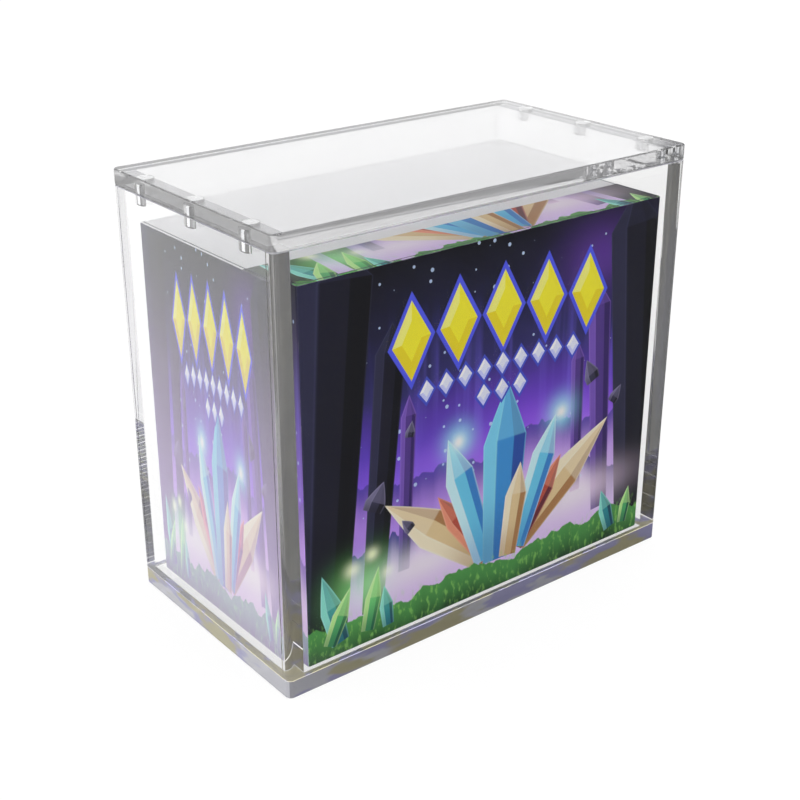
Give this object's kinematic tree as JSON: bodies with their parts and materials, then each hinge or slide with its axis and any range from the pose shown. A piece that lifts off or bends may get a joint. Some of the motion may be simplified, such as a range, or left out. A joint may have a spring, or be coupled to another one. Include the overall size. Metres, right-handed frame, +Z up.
{
  "type": "trading card display case",
  "caption": "Clear acrylic display case of bonded panels with a lift-off lid held by magnet pairs, holding one sealed card carton.",
  "frame": {"origin": "centre of the underside, on the surface that the case stands on", "axes": "+X to the right along the width, +Y to the back along the depth, +Z up; the front faces -Y"},
  "size_m": [0.156, 0.0856, 0.1411],
  "materials": {
    "acrylic": "polished",
    "magnet_plating": "polished",
    "carton_print": "satin"
  },
  "bodies": {
    "case": {"base_panel": "acrylic", "front_panel": "acrylic", "back_panel": "acrylic", "left_panel": "acrylic", "right_panel": "acrylic", "left_wall_magnet_front": "magnet_plating", "left_wall_magnet_middle": "magnet_plating", "left_wall_magnet_rear": "magnet_plating", "right_wall_magnet_front": "magnet_plating", "right_wall_magnet_middle": "magnet_plating", "right_wall_magnet_rear": "magnet_plating"},
    "carton": {"card_carton": "carton_print"},
    "lid": {"lid_panel": "acrylic", "left_lid_magnet_front": "magnet_plating", "left_lid_magnet_middle": "magnet_plating", "left_lid_magnet_rear": "magnet_plating", "right_lid_magnet_front": "magnet_plating", "right_lid_magnet_middle": "magnet_plating", "right_lid_magnet_rear": "magnet_plating"}
  },
  "joints": [
    {"name": "carton_lift", "type": "slide", "parent": "case", "child": "carton", "axis": [0, 0, 1], "range_m": [0, 0.14]},
    {"name": "lid_lift", "type": "slide", "parent": "carton", "child": "lid", "axis": [0, 0, 1], "range_m": [0, 0.12]}
  ]
}
